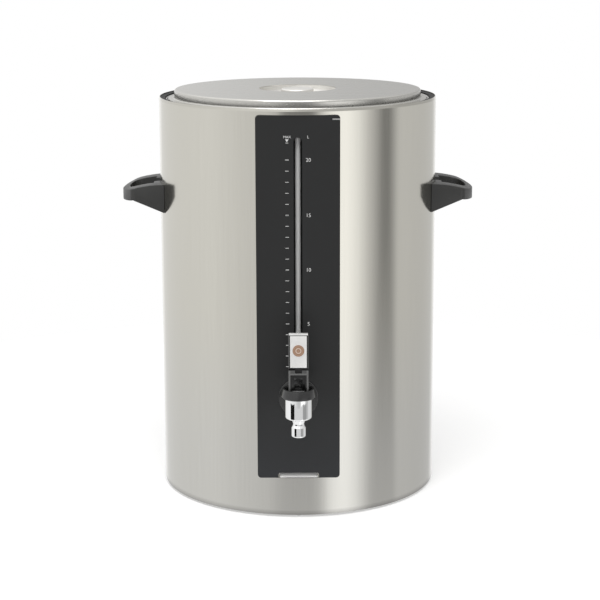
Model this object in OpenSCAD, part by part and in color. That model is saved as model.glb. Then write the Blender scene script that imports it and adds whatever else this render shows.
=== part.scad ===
// Insulated hot water urn with a sight glass and a self-closing lever tap.
// Millimetres, +Z up. The origin is the centre of the base on the table. The front faces -Y.

/* [Case] */
// Outer diameter of the steel case
case_d = 355; // [330:1:420]
// Height of the case from its rolled bottom edge to its top edge
case_h = 503.5; // [440:0.5:600]
// Gap between the table and the bottom edge of the case
case_lift = 3; // [2:0.5:6]
// Thickness of the case's steel sheet
case_wall = 0.8; // [0.6:0.1:1.2]
// Height of the leaning edge at the top of the case
shoulder_h = 3; // [2:0.5:4]
// How far the top edge leans inwards
shoulder_lean = 0.8; // [0.4:0.1:1.2]
// Width of the edge rolled in at the bottom of the case
bottom_roll = 9; // [7:0.5:12]
// Thickness of the base plate
base_t = 1.2; // [1:0.1:2]

/* [Front panel] */
// Width of the front panel
panel_w = 101; // [90:1:120]
// Wall thickness of the front panel
panel_t = 2.2; // [1.6:0.1:3]
// How far the panel's flat face stands proud of the case at its two sides
panel_stand = 5.6; // [4.6:0.1:6.8]
// How deep the panel's rim sits in the case at its two sides
panel_sink = 2.2; // [1.6:0.1:3]
// Height of the panel's lower edge above the bottom edge of the case
panel_rise = 47.8; // [40:0.1:60]
// Distance from the panel's upper edge down from the top edge of the case
panel_drop = 7.3; // [7.1:0.1:12]
// Corner radius of the panel
panel_corner = 4.5; // [2:0.5:8]
// Width of the finger notch in the panel's lower edge
notch_w = 50.4; // [30:0.2:70]
// Height of the finger notch
notch_h = 6.3; // [4:0.1:10]

/* [Sight glass] */
// Width of the slot in the panel
slot_w = 10.4; // [9.6:0.1:12]
// Distance from the top of the slot down from the panel's upper edge
slot_drop = 26.7; // [24:0.1:60]
// Height of the slot's lower end above the tap's axis
slot_rise = 38; // [36:1:60]
// Outer diameter of the glass tube
tube_d = 6.9; // [6:0.1:7.5]
// Wall of the glass tube
tube_wall = 1.1; // [0.8:0.1:1.4]
// Depth of the channel and of the tee block behind the case's front wall
gauge_depth = 9.8; // [9.6:0.1:10.6]
// Width of the tee block
tee_w = 30; // [28:1:36]

/* [Tank] */
// Gap between the inside of the case and the outside of the tank
tank_gap = 21.2; // [20.5:0.1:40]
// Thickness of the tank's steel sheet
tank_wall = 1; // [0.8:0.1:1.4]
// Height of the tank's floor above the bottom edge of the case
tank_rise = 171; // [165:1:230]
// Inner diameter of the sump at the front of the floor
sump_d = 60; // [50:1:64]
// Distance from the tank's wall to the middle of the sump
sump_inset = 36.5; // [34:0.5:44]
// How far the sump's floor lies under the tap's axis
sump_drop = 13.3; // [12:0.1:18]
// Gap between the insulation jacket and the inside of the case
jacket_gap = 6.9; // [6.5:0.1:10]
// Thickness of the insulation under the tank
underlay_t = 25; // [15:1:30]

/* [Lid] */
// Height of the lid's top face above the top edge of the case
lid_rise = 8.7; // [8:0.1:9.6]
// How far the lid's raised top reaches past the tank's wall
lid_lap = 3.4; // [2.5:0.1:4.5]
// Gap between the lid's flange and the bead of the tank's rim
lid_gap = 0.9; // [0.8:0.1:2]
// How deep the lid's flange lies under the top edge of the case
lid_sink = 2.4; // [2:0.1:2.4]
// Thickness of the lid's steel sheet
lid_wall = 0.8; // [0.6:0.1:1]
// Depth of the plug that hangs into the tank, from the lid's top face
plug_depth = 29; // [27:0.5:60]
// Diameter of the grip recess
dish_d = 98; // [84:1:120]
// Radius of the recess's round wall, which is also about its depth
dish_r = 18; // [15:0.5:20]
// Diameter of the knob in the recess
knob_d = 42; // [34:1:44]
// How far the lid lifts
lid_travel = 150; // [100:5:250]

/* [Handles] */
// Distance from the handles' upper edge down from the top edge of the case
handle_drop = 108.5; // [60:0.5:200]
// Width of a handle along the case
handle_w = 107.4; // [95:0.2:112]
// How far a handle stands out from the case
handle_reach = 48.5; // [46:0.5:60]
// Height of a handle where it meets the case
handle_root_h = 36; // [34:0.5:50]
// Height of a handle's nose
handle_nose_h = 12.4; // [10:0.1:15]
// Width of the finger gap
grip_gap_w = 59; // [55:0.5:62]
// Thickness of the handle's nose, front to back
handle_nose_t = 9; // [8:0.5:12]
// Thickness of the handle's foot against the case
handle_foot_t = 7; // [6:0.5:9]

/* [Tap] */
// Height of the tap's inlet axis above the bottom edge of the case
tap_rise = 150.3; // [130:0.1:153]
// Distance from the panel's face to the tap's upright axis
tap_reach = 52.3; // [45:0.1:75]
// Diameter of the black flange on the panel
flange_d = 49.2; // [40:0.2:56]
// Diameter of the tap body
tap_d = 32.6; // [32.6:0.1:34]
// Outer diameter of the inlet shank
shank_d = 16.6; // [15:0.1:17]
// Diameter of the water way through the shank
way_d = 10; // [8:0.5:11]
// Diameter of the nozzle
nozzle_d = 17.8; // [17:0.1:20]
// Height of the nozzle
nozzle_h = 11.9; // [10:0.1:16]
// Bore of the nozzle
nozzle_bore = 9; // [7:0.5:9]
// Width of the lever
lever_w = 23.6; // [22:0.1:24]
// Height of the lever's top above the pin
lever_h = 72; // [62:0.5:90]
// Thickness of the lever
lever_t = 5; // [4.6:0.1:5.2]
// How far the lever tips forward, in degrees
lever_swing = 25; // [15:1:27]

/* [Electrics] */
// Width of the flat pressed into the back of the case
rear_flat_w = 120; // [114:1:130]
// Height of the middle of the rear flat above the bottom edge of the case
rear_flat_rise = 45; // [42:0.5:60]
// Height of the rear flat
rear_flat_h = 50; // [44:1:56]
// Diameter of the heater under the tank
heater_d = 190; // [120:2:192]
// Thickness of the heater
heater_t = 7; // [4:0.5:10]
// How far the rocker switch tips, in degrees
rocker_swing = 20; // [12:1:24]

/* [Hidden] */
$fn = 96;

// Clearances
seat_gap = 0.3;      // between curved faces that seat on each other
thread_gap = 0.1;    // radial, where one round piece screws into another
running_gap = 0.06;  // radial, where one piece turns or slides in another
cut = 1;             // how far a cutting shape runs past the face it cuts

// Case
case_r = case_d / 2;
case_top = case_lift + case_h;
case_in_r = case_r - case_wall;
base_z = case_lift + case_wall;
roll_r = case_r - bottom_roll;

// Front flat, as distances forward from the urn's axis
panel_low = case_lift + panel_rise;
panel_high = case_top - panel_drop;
edge_y = sqrt(case_r * case_r - panel_w * panel_w / 4);
face_y = edge_y + panel_stand;
pocket_y = edge_y - panel_sink;
wall_y = pocket_y - case_wall;
pocket_gap = 0.2;
catch_lip = 0.3;
tongue_w = 9.4;
tongue_h = 1.9;
tongue_z = panel_high - 5.6;

// Tap and sight glass
tap_z = case_lift + tap_rise;
tap_y = face_y + tap_reach;
gauge_y = wall_y - gauge_depth;
seal_t = 1.5;
boss_y = gauge_y - seal_t;
boss_r = 13;
sleeve_t = 0.6;
glass_y = gauge_y + 1.25 + tube_d / 2;
slot_low = tap_z + slot_rise;
slot_high = panel_high - slot_drop;
liner_t = 1;
liner_w = slot_w + 2;
shaft_hole_r = shank_d / 2 + thread_gap;
tee_low = tap_z - 19;
tee_high = slot_low - 5;
tube_low = tap_z + 15;
tube_high = slot_high + 8;

// Tank and rim
tank_out_r = case_in_r - tank_gap;
tank_r = tank_out_r - tank_wall;
sump_reach = tank_r - sump_inset;
tank_z = case_lift + tank_rise;
sump_z = tap_z - sump_drop;
bead_r = 1.2;
ring_top_r = case_r - shoulder_lean - case_wall - seat_gap;
ring_w = 6.2;
ring_in_r = ring_top_r - ring_w;
ring_top_in = case_top - 1.5;
ring_top_out = case_top - 1;
gasket_t = 1;
ledge_z = case_top - lid_sink - 2 * lid_wall - gasket_t - tank_wall;
ring_low = ledge_z - 3.7;
bead_y = ring_in_r - seat_gap - 0.2 - bead_r;
bead_z = case_top - 3.9;
flange_top = ledge_z + tank_wall;

// Lid
lid_z = case_top + lid_rise;
lid_r = tank_r + lid_lap;
lid_flange_r = bead_y - bead_r - lid_gap;
lid_edge_r = 2.5;
lid_fillet_r = 2;
lid_flange_top = case_top - lid_sink;
lid_flange_low = lid_flange_top - lid_wall;
pan_flange_low = lid_flange_low - lid_wall;
pan_flange_r = lid_r + 2.5;
plug_gap = 3.3;
plug_r = tank_r - plug_gap;
plug_z = lid_z - plug_depth;
dish_rim_r = dish_d / 2;
dish_hole_r = dish_rim_r + seat_gap;
dish_lap = 6;
dish_top = lid_z - lid_wall;
dish_floor = dish_top - lid_wall - dish_r;
knob_r = knob_d / 2;
knob_top = lid_z - 0.4;

// Handles, as distances out from the urn's axis
handle_nose = case_r + handle_reach;
handle_top = case_top - handle_drop;
nose_arc_r = 100;
nose_arc_x = handle_nose - nose_arc_r;
handle_crown_r = 152;
handle_crown_x = case_r - 7.5;
nose_top = handle_top - handle_crown_r
    + sqrt(pow(handle_crown_r, 2) - pow(handle_nose - handle_crown_x, 2));
nose_low = nose_top - handle_nose_h;
grip_back_x = handle_nose - 17;
grip_back_z = nose_low + 3.5;
handle_corner_r = 8;
grip_corner_r = 10;
handle_screw_y = (handle_w + grip_gap_w) / 4;
handle_screw_turn = asin(handle_screw_y / case_r);
handle_screw_z = handle_top - 18;
backing_t = 2;
backing_h = 30;
m5_r = 2.5;
m5_head_r = 4.5;
m5_head_h = 2.6;
handle_bolt_l = 14;

// Small fasteners of the base
m4_r = 2;
m4_head_r = 3.8;
m4_head_h = 1.4;
m4_nut_r = 4;
m4_nut_h = 3;
screw_l = 8;
base_screw_ring = case_in_r - m4_nut_r - 0.7;
foot_ring = case_r - 27.5;
foot_r = 13;
vent_ring = 60;
vent_step = 20;
vent_r = 3;

// Tap details, heights above the table
collar_low = tap_z + 15.2;
collar_h = 11;
collar_high = collar_low + collar_h;
collar_r = 20.75;
collar_top_r = 18.4;
pin_z = collar_low + 7.5;
pin_r = 1.5;
pin_y = tap_y + 6;
pin_half = 17.2;
cavity_r = 15.6;
cavity_z = collar_low + 3;
skirt_r = 13.9;
skirt_in_r = 10.5;
skirt_low = collar_low - 8.5;
body_low = tap_z - 10.9;
neck_z = tap_z - 18.7;
neck_r = 7.1;
neck_top_r = 9.2;
tap_corner = 3;
arm_r = 11;
shank_over = 6;
chamber_r = 12.5;
chamber_z = tap_z - 7.3;
seat_h = 1.3;
seat_r = 5.6;
stub_r = 6.2;
stub_h = 7;
flange_t = 2;
stem_r = 2;
plate_z = chamber_z + seat_h + 9.7;
stem_plate_t = 1;
stem_plate_r = 8;
toe_r = 1.6;
toe_reach = pin_y - tap_y;
toe_gap = 0.15;
head_z = pin_z + toe_r + toe_gap;
head_t = 1.6;
head_r = 3.8;
stem_foot_z = chamber_z + seat_h + 3;
cup_r = 7.5;
spring_r = 6.2;
spring_wire_r = 0.5;
spring_turns = 5;

// Lever, seen from the front
lever_top = pin_z + lever_h;
lever_front = pin_y + lever_t / 2;
lever_back = pin_y - lever_t / 2;
lever_rib = 1.95;
leg_w = 3.8;
leg_r = 3.2;
shelf_z = pin_z + 21.6;
foot_h = 5.9;
foot_w = lever_w / 3;
block_low = shelf_z + 8.4;
plate_low = block_low + 0.7;
cap_h = 1.8;
cap_w = lever_w - 1;
fold_h = 0.6;
plate_w = lever_w - 2 * lever_rib;
lever_plate_t = 0.8;
badge_r = 6.85;
badge_t = 0.6;
badge_z = plate_low + 20.8;

// Back of the case
rear_y = sqrt(case_r * case_r - rear_flat_w * rear_flat_w / 4);
rear_in_y = rear_y - case_wall;
rear_z = case_lift + rear_flat_rise;
rear_ramp = 10;
inlet_x = -32;
inlet_w = 28;
inlet_h = 20.5;
inlet_flange_w = 49;
inlet_flange_h = 24;
inlet_pitch = 40;
switch_x = 34;
switch_w = 25;
switch_h = 31;
switch_hole_w = 21.6;
switch_hole_h = 27.6;
bezel_t = 2;
rocker_w = 17.6;
rocker_h = 22.4;
rocker_axis_y = rear_y - 1;

// Heater
heater_gap = 7;
heater_y = heater_d / 2 - (sump_reach - sump_d / 2 - tank_wall - heater_gap);
heater_top = tank_z - tank_wall;
stud_ring = heater_d / 2 - 35;
stud_r = 2.5;
stud_l = 16;
clamp_t = 2;
sensor_x = heater_d / 2 - 30;
terminal_x = inlet_x - 13.5;
terminal_y = 70;
terminal_l = 44;
terminal_w = 18;
terminal_h = 16;

// Points of an arc round (cx, cy), in steps of about 15 degrees
function arc(cx, cy, r, from, to) =
    let (n = max(1, ceil(abs(to - from) / 15)))
    [for (i = [0 : n]) [cx + r * cos(from + (to - from) * i / n), cy + r * sin(from + (to - from) * i / n)]];

// The list with its last point first
function backwards(points) = [for (i = [len(points) - 1 : -1 : 0]) points[i]];

// ---------- shared shapes ----------

// A solid from an outline drawn in x and z, that runs forward from y_near to y_far
module forward(y_near, y_far) {
    translate([0, -y_near, 0])
        rotate([90, 0, 0])
            linear_extrude(y_far - y_near)
                children();
}

// A rectangle with round corners, from its lower left corner
module round_rect(w, h, r) {
    translate([r, 0]) square([w - 2 * r, h]);
    translate([0, r]) square([w, h - 2 * r]);
    for (x = [r, w - r], y = [r, h - r])
        translate([x, y]) circle(r);
}

// A flat pressed into a round wall: everything past the plane at distance d, with a ramp at each end
module pressed_flat(d, low, high, ramp, r, back) {
    out = r + cut;
    depth = r - back;
    share = (out - d) / depth;
    rotate([90, 0, 90])
        translate([0, 0, -r])
            linear_extrude(2 * r)
                polygon([
                    [-d, low],
                    [-out, low - ramp * share],
                    [-out, high + ramp * share],
                    [-d, high]
                ]);
}

// The case as a solid, shrunk by inset all round, with the pocket of the panel and the rear flat
module case_form(inset, over = 0) {
    r = case_r - inset;
    difference() {
        rotate_extrude()
            polygon([
                [0, case_lift + inset],
                [r, case_lift + inset],
                [r, case_top - shoulder_h],
                [r - shoulder_lean, case_top],
                [r - shoulder_lean, case_top + over],
                [0, case_top + over]
            ]);
        forward(pocket_y - inset, case_r + cut)
            translate([-panel_w / 2 - pocket_gap - inset, panel_low - pocket_gap - inset])
                round_rect(panel_w + 2 * (pocket_gap + inset),
                           panel_high - panel_low + 2 * (pocket_gap + inset),
                           panel_corner + inset);
        rotate([0, 0, 180])
            pressed_flat(rear_y - inset, rear_z - rear_flat_h / 2, rear_z + rear_flat_h / 2,
                         rear_ramp, case_r, rear_y);
    }
}

// An upright slot with round ends
module slot_outline(w, low, high) {
    translate([-w / 2, low + w / 2]) square([w, high - low - w]);
    translate([0, low + w / 2]) circle(w / 2);
    translate([0, high - w / 2]) circle(w / 2);
}

// Copies round the base at the four side points, or turned by 45 degrees
module four_round(radius, turn = 0) {
    for (a = [0 : 90 : 270])
        rotate([0, 0, a + turn])
            translate([radius, 0, 0])
                children();
}

// A hexagonal nut with its lower face at z = 0
module hex_nut(r, h, bore_r) {
    difference() {
        cylinder(h = h, r = r, $fn = 6);
        translate([0, 0, -cut]) cylinder(h = h + 2 * cut, r = bore_r + thread_gap);
    }
}

// A lead whose runs each follow one axis, with a round corner at every turn
module lead(points, r) {
    for (i = [0 : len(points) - 2]) {
        low = [for (k = [0 : 2]) min(points[i][k], points[i + 1][k])];
        run = [for (k = [0 : 2]) abs(points[i + 1][k] - points[i][k])];
        turn = run[0] > 0 ? [0, 90, 0] : run[1] > 0 ? [-90, 0, 0] : [0, 0, 0];
        translate(low) rotate(turn) cylinder(h = run[0] + run[1] + run[2], r = r);
    }
    for (i = [1 : len(points) - 2]) translate(points[i]) sphere(1.25 * r);
}

// A helical wire as a swept tube
module coil(r, wire_r, low, high, turns) {
    sides = 8;
    steps = 20 * turns;
    rings = [for (i = [0 : steps])
        let (a = 360 * turns * i / steps, z = low + wire_r + (high - low - 2 * wire_r) * i / steps)
        [for (j = [0 : sides - 1])
            let (b = 360 * j / sides)
            [(r + wire_r * cos(b)) * cos(a), (r + wire_r * cos(b)) * sin(a), z + wire_r * sin(b)]]];
    points = [for (ring = rings) for (p = ring) p];
    walls = [for (i = [0 : steps - 1], j = [0 : sides - 1])
        [i * sides + j, i * sides + (j + 1) % sides, (i + 1) * sides + (j + 1) % sides, (i + 1) * sides + j]];
    first = [for (j = [sides - 1 : -1 : 0]) j];
    last = [for (j = [0 : sides - 1]) steps * sides + j];
    polyhedron(points = points, faces = [for (f = concat(walls, [first, last])) backwards(f)]);
}

// ---------- case ----------

module outer_shell() {
    color("silver")
        difference() {
            case_form(0);
            case_form(case_wall, cut);
            translate([0, 0, case_lift - cut]) cylinder(h = case_wall + 2 * cut, r = roll_r);
            forward(wall_y - cut, pocket_y + cut) slot_outline(liner_w, slot_low - 1, slot_high + 1);
            forward(wall_y - cut, pocket_y + cut) translate([0, tap_z]) circle(shaft_hole_r + seat_gap);
            four_round(base_screw_ring)
                translate([0, 0, case_lift - cut]) cylinder(h = case_wall + 2 * cut, r = m4_r + thread_gap);
            for (side = [0, 180], turn = [-handle_screw_turn, handle_screw_turn])
                rotate([0, 0, side + turn])
                    translate([case_in_r - cut, 0, handle_screw_z])
                        rotate([0, 90, 0])
                            cylinder(h = case_wall + 2 * cut, r = m5_r + thread_gap);
            translate([inlet_x - inlet_w / 2 - pocket_gap, rear_in_y - cut, rear_z - inlet_h / 2 - pocket_gap])
                cube([inlet_w + 2 * pocket_gap, case_wall + 2 * cut, inlet_h + 2 * pocket_gap]);
            for (x = [-inlet_pitch / 2, inlet_pitch / 2])
                translate([inlet_x + x, rear_y + cut, rear_z])
                    rotate([90, 0, 0]) cylinder(h = case_wall + 2 * cut, r = m4_r + thread_gap);
            translate([switch_x - switch_hole_w / 2, rear_in_y - cut, rear_z - switch_hole_h / 2])
                cube([switch_hole_w, case_wall + 2 * cut, switch_hole_h]);
        }
}

module rim_ring() {
    color("#1c1c1c")
        intersection() {
            case_form(case_wall + seat_gap, cut);
            rotate_extrude()
                polygon([
                    [tank_out_r + 2, ring_low],
                    [case_r, ring_low],
                    [case_r, ring_top_out],
                    [ring_top_r, ring_top_out],
                    [ring_in_r, ring_top_in],
                    [ring_in_r, ledge_z],
                    [tank_out_r + 2, ledge_z]
                ]);
        }
}

module base_plate() {
    color("silver")
        difference() {
            translate([0, 0, base_z]) cylinder(h = base_t, r = case_in_r - seat_gap);
            four_round(base_screw_ring)
                translate([0, 0, base_z - cut]) cylinder(h = base_t + 2 * cut, r = m4_r + thread_gap);
            four_round(foot_ring, 45)
                translate([0, 0, base_z - cut]) cylinder(h = base_t + 2 * cut, r = m4_r + thread_gap);
            for (a = [0 : 30 : 330], ring = [vent_ring, vent_ring + vent_step])
                rotate([0, 0, a]) translate([ring, 0, base_z - cut]) cylinder(h = base_t + 2 * cut, r = vent_r);
        }
}

module base_screws() {
    color("gray")
        four_round(base_screw_ring) {
            translate([0, 0, case_lift - m4_head_h]) cylinder(h = m4_head_h, r = m4_head_r);
            translate([0, 0, case_lift - 0.01]) cylinder(h = screw_l, r = m4_r);
        }
}

module base_nuts() {
    color("gray") {
        four_round(base_screw_ring) translate([0, 0, base_z + base_t]) hex_nut(m4_nut_r, m4_nut_h, m4_r);
        four_round(foot_ring, 45) translate([0, 0, base_z + base_t]) hex_nut(m4_nut_r, m4_nut_h, m4_r);
    }
}

module feet() {
    color("#202020")
        four_round(foot_ring, 45)
            difference() {
                cylinder(h = base_z, r = foot_r);
                translate([0, 0, -cut]) cylinder(h = base_z + 2 * cut, r = m4_r + thread_gap);
                translate([0, 0, -cut]) cylinder(h = cut + base_z / 2, r = m4_head_r + 0.6);
            }
}

module foot_screws() {
    color("gray")
        four_round(foot_ring, 45) {
            translate([0, 0, base_z / 2 - m4_head_h]) cylinder(h = m4_head_h, r = m4_head_r);
            translate([0, 0, base_z / 2 - 0.01]) cylinder(h = screw_l, r = m4_r);
        }
}

// ---------- handles ----------

// A loop seen from above: straight sides, a nose on a large arc, and round corners between them
module loop_outline(near, width, arc_r, corner_r) {
    corner_y = width / 2 - corner_r;
    corner_x = nose_arc_x + sqrt(pow(arc_r - corner_r, 2) - pow(corner_y, 2));
    reach = 1.3;
    translate([near, -width / 2]) square([corner_x - near, width]);
    for (side = [-1, 1]) translate([corner_x, side * corner_y]) circle(corner_r);
    intersection() {
        translate([nose_arc_x, 0]) circle(arc_r);
        polygon([
            [nose_arc_x, 0],
            [nose_arc_x + reach * (corner_x - nose_arc_x), -reach * corner_y],
            [nose_arc_x + reach * (corner_x - nose_arc_x), reach * corner_y]
        ]);
    }
}

// A handle on the +X side
module handle() {
    low = handle_top - handle_root_h;
    difference() {
        intersection() {
            translate([0, 0, low - cut])
                linear_extrude(handle_root_h + 2 * cut)
                    difference() {
                        loop_outline(case_r - 20, handle_w, nose_arc_r, handle_corner_r);
                        loop_outline(case_r + handle_foot_t, grip_gap_w, nose_arc_r - handle_nose_t, grip_corner_r);
                    }
            translate([handle_crown_x, 0, handle_top - handle_crown_r])
                rotate([90, 0, 0])
                    cylinder(h = 2 * handle_w, r = handle_crown_r, center = true, $fn = 180);
            rotate([90, 0, 0])
                translate([0, 0, -handle_w])
                    linear_extrude(2 * handle_w)
                        polygon([
                            [case_r - 20, low],
                            [case_r - 7.5, low],
                            [grip_back_x, grip_back_z],
                            [handle_nose, nose_low],
                            [handle_nose + cut, handle_top + cut],
                            [case_r - 20, handle_top + cut]
                        ]);
        }
        translate([0, 0, low - 2 * cut])
            cylinder(h = handle_root_h + 4 * cut, r = case_r + seat_gap);
        for (turn = [-handle_screw_turn, handle_screw_turn])
            rotate([0, 0, turn])
                translate([case_r - cut, 0, handle_screw_z])
                    rotate([0, 90, 0])
                        cylinder(h = handle_bolt_l + cut, r = m5_r + thread_gap);
    }
}

module handle_right() {
    color("#2a2a2a") handle();
}

module handle_left() {
    color("#2a2a2a") mirror([1, 0, 0]) handle();
}

module handle_backing_plates() {
    out_r = case_in_r - seat_gap;
    color("silver")
        for (side = [0, 180])
            rotate([0, 0, side])
                difference() {
                    intersection() {
                        translate([0, 0, handle_screw_z - backing_h / 2]) cylinder(h = backing_h, r = out_r);
                        translate([0, -handle_w / 2, handle_screw_z - backing_h / 2])
                            cube([case_r, handle_w, backing_h]);
                    }
                    translate([0, 0, handle_screw_z - backing_h]) cylinder(h = 2 * backing_h, r = out_r - backing_t);
                    for (turn = [-handle_screw_turn, handle_screw_turn])
                        rotate([0, 0, turn])
                            translate([out_r - backing_t - cut, 0, handle_screw_z])
                                rotate([0, 90, 0])
                                    cylinder(h = backing_t + 2 * cut, r = m5_r + thread_gap);
                }
}

module handle_screws() {
    head_x = case_in_r - seat_gap - backing_t - 0.1;
    color("gray")
        for (side = [0, 180], turn = [-handle_screw_turn, handle_screw_turn])
            rotate([0, 0, side + turn])
                translate([head_x, 0, handle_screw_z])
                    rotate([0, 90, 0]) {
                        translate([0, 0, -m5_head_h]) cylinder(h = m5_head_h, r = m5_head_r);
                        translate([0, 0, -0.01]) cylinder(h = handle_bolt_l, r = m5_r);
                    }
}

// ---------- front panel and sight glass ----------

// The space behind the panel's face, less the walls round its edge, the slot, the tap and the notch
module panel_hollow() {
    t = panel_t;
    difference() {
        translate([t - panel_w / 2, panel_low + t])
            round_rect(panel_w - 2 * t, panel_high - panel_low - 2 * t, panel_corner - t / 2);
        slot_outline(slot_w + 2 * t, slot_low - t, slot_high + t);
        translate([0, tap_z]) circle(flange_d / 2);
        translate([-notch_w / 2 - t, panel_low - notch_h]) square([notch_w + 2 * t, 2 * notch_h + t]);
    }
}

module front_panel() {
    color("#2b2b2b")
        difference() {
            forward(pocket_y, face_y)
                difference() {
                    translate([-panel_w / 2, panel_low])
                        round_rect(panel_w, panel_high - panel_low, panel_corner);
                    slot_outline(slot_w, slot_low, slot_high);
                    translate([0, tap_z]) circle(shaft_hole_r + seat_gap);
                    translate([-notch_w / 2, panel_low - notch_h])
                        round_rect(notch_w, 2 * notch_h, 3);
                    translate([panel_w / 2 - tongue_w, tongue_z]) square([tongue_w + cut, tongue_h]);
                }
            forward(pocket_y - cut, face_y - panel_t) panel_hollow();
        }
}

module panel_catch() {
    gap = pocket_gap;
    color("white")
        rotate([90, 0, 90])
            translate([0, 0, -notch_w / 2 + 2])
                linear_extrude(notch_w - 4)
                    polygon([
                        [-pocket_y, panel_low + gap],
                        [-(face_y - catch_lip), panel_low + gap],
                        [-(pocket_y + 0.5), panel_low + notch_h - gap],
                        [-pocket_y, panel_low + notch_h - gap]
                    ]);
    // The tongue at the panel's upper right corner
    color("white")
        translate([panel_w / 2 - tongue_w + gap, -(face_y - catch_lip), tongue_z + gap])
            cube([tongue_w - 2 * gap, face_y - catch_lip - pocket_y, tongue_h - 2 * gap]);
}

module gauge_tube() {
    color("lightgray")
        translate([0, -glass_y, tube_low])
            difference() {
                cylinder(h = tube_high - tube_low, r = tube_d / 2);
                translate([0, 0, -cut])
                    cylinder(h = tube_high - tube_low + 2 * cut, r = tube_d / 2 - tube_wall);
            }
}

module gauge_channel() {
    low = tee_high;
    high = slot_high + 2;
    color("#161616")
        difference() {
            translate([-liner_w / 2 - liner_t, -wall_y, low])
                cube([liner_w + 2 * liner_t, gauge_depth, high - low]);
            translate([-liner_w / 2, -wall_y - cut, low - cut])
                cube([liner_w, gauge_depth - liner_t + cut, high - low + 2 * cut]);
        }
}

module gauge_top_holder() {
    low = slot_high + 2;
    high = tube_high + 3;
    color("#202020")
        difference() {
            translate([-liner_w / 2 - liner_t, -wall_y, low])
                cube([liner_w + 2 * liner_t, gauge_depth, high - low]);
            translate([0, -glass_y, low - cut]) cylinder(h = tube_high - low + cut, r = tube_d / 2 + thread_gap);
            translate([0, -glass_y, low]) cylinder(h = high - low + cut, r = 1);
        }
}

module gauge_block() {
    color("#8a8a8a")
        difference() {
            translate([-tee_w / 2, -wall_y, tee_low]) cube([tee_w, gauge_depth, tee_high - tee_low]);
            forward(gauge_y - cut, wall_y + cut) translate([0, tap_z]) circle(shaft_hole_r);
            translate([0, -glass_y, tap_z]) cylinder(h = tee_high - tap_z + cut, r = tube_d / 2 - tube_wall);
            translate([0, -glass_y, tube_low]) cylinder(h = tee_high - tube_low + cut, r = tube_d / 2 + thread_gap);
            translate([0, -glass_y, tee_high - 9])
                cylinder(h = 9 + cut, r = tube_d / 2 + thread_gap + sleeve_t);
        }
}

module gauge_seal() {
    color("#d8d8d8")
        translate([0, -glass_y, tee_high - 9])
            difference() {
                cylinder(h = 9, r = tube_d / 2 + thread_gap + sleeve_t - 0.05);
                translate([0, 0, -cut]) cylinder(h = 9 + 2 * cut, r = tube_d / 2 + 0.05);
            }
}

module shank_seal() {
    color("#d8d8d8")
        forward(boss_y, gauge_y)
            translate([0, tap_z])
                difference() {
                    circle(boss_r);
                    circle(shaft_hole_r);
                }
}

// ---------- tank ----------

module inner_vessel() {
    sump_r = sump_d / 2;
    color("#c4c4c4")
        difference() {
            union() {
                translate([0, 0, tank_z - tank_wall]) cylinder(h = flange_top - tank_z + tank_wall, r = tank_out_r);
                translate([0, 0, ledge_z]) cylinder(h = tank_wall, r = bead_y + tank_wall / 2);
                rotate_extrude() {
                    translate([bead_y - tank_wall / 2, ledge_z]) square([tank_wall, bead_z - ledge_z]);
                    translate([bead_y, bead_z]) circle(bead_r, $fn = 32);
                }
                translate([0, -sump_reach, sump_z - tank_wall])
                    cylinder(h = tank_z - sump_z, r = sump_r + tank_wall);
                forward(sump_reach, boss_y) translate([0, tap_z]) circle(boss_r);
                for (a = [30, 150, 270])
                    translate([0, heater_y, 0])
                        rotate([0, 0, a])
                            translate([stud_ring, 0, heater_top - stud_l])
                                cylinder(h = stud_l + 0.5, r = stud_r);
            }
            translate([0, 0, tank_z]) cylinder(h = case_h, r = tank_r);
            translate([0, -sump_reach, sump_z]) cylinder(h = tank_z - sump_z + cut, r = sump_r);
            forward(sump_reach, boss_y + cut) translate([0, tap_z]) circle(shank_d / 2 + 0.2);
        }
}

module vessel_insulation() {
    low = tank_z;
    high = ring_low;
    r = tank_out_r + seat_gap;
    side_w = tee_w / 2 + 3;
    color("#e0d8a8")
        difference() {
            translate([0, 0, low]) cylinder(h = high - low, r = case_in_r - jacket_gap);
            translate([0, 0, low - cut]) cylinder(h = high - low + 2 * cut, r = r);
            translate([-case_r, -case_r, low - cut]) cube([case_d, case_r - wall_y + 1, high - low + 2 * cut]);
            translate([-side_w, -case_r, low - cut]) cube([2 * side_w, case_r, high - low + 2 * cut]);
        }
}

module floor_insulation() {
    color("#e0d8a8")
        difference() {
            translate([0, 0, heater_top - underlay_t]) cylinder(h = underlay_t, r = tank_r - 4);
            translate([0, heater_y, heater_top - underlay_t - cut])
                cylinder(h = underlay_t + 2 * cut, r = heater_d / 2 + 2);
            translate([0, -sump_reach, heater_top - underlay_t - cut])
                cylinder(h = underlay_t + 2 * cut, r = sump_d / 2 + tank_wall + seat_gap);
            translate([-boss_r - 4, -case_r, heater_top - underlay_t - cut])
                cube([2 * boss_r + 8, case_r - sump_reach, underlay_t + 2 * cut]);
        }
}

// ---------- heater and electrics ----------

module heater_plate() {
    color("#b8b8b8")
        translate([0, heater_y, heater_top - heater_t])
            difference() {
                cylinder(h = heater_t, r = heater_d / 2);
                for (a = [30, 150, 270])
                    rotate([0, 0, a])
                        translate([stud_ring, 0, -cut]) cylinder(h = heater_t + 2 * cut, r = stud_r + seat_gap);
            }
}

module heater_clamp() {
    color("silver")
        translate([0, heater_y, heater_top - heater_t - clamp_t])
            difference() {
                union() {
                    cylinder(h = clamp_t, r = 16);
                    for (a = [30, 150, 270])
                        rotate([0, 0, a]) {
                            translate([0, -6, 0]) cube([stud_ring, 12, clamp_t]);
                            translate([stud_ring, 0, 0]) cylinder(h = clamp_t, r = 8);
                        }
                }
                for (a = [30, 150, 270])
                    rotate([0, 0, a])
                        translate([stud_ring, 0, -cut]) cylinder(h = clamp_t + 2 * cut, r = stud_r + seat_gap);
            }
}

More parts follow.
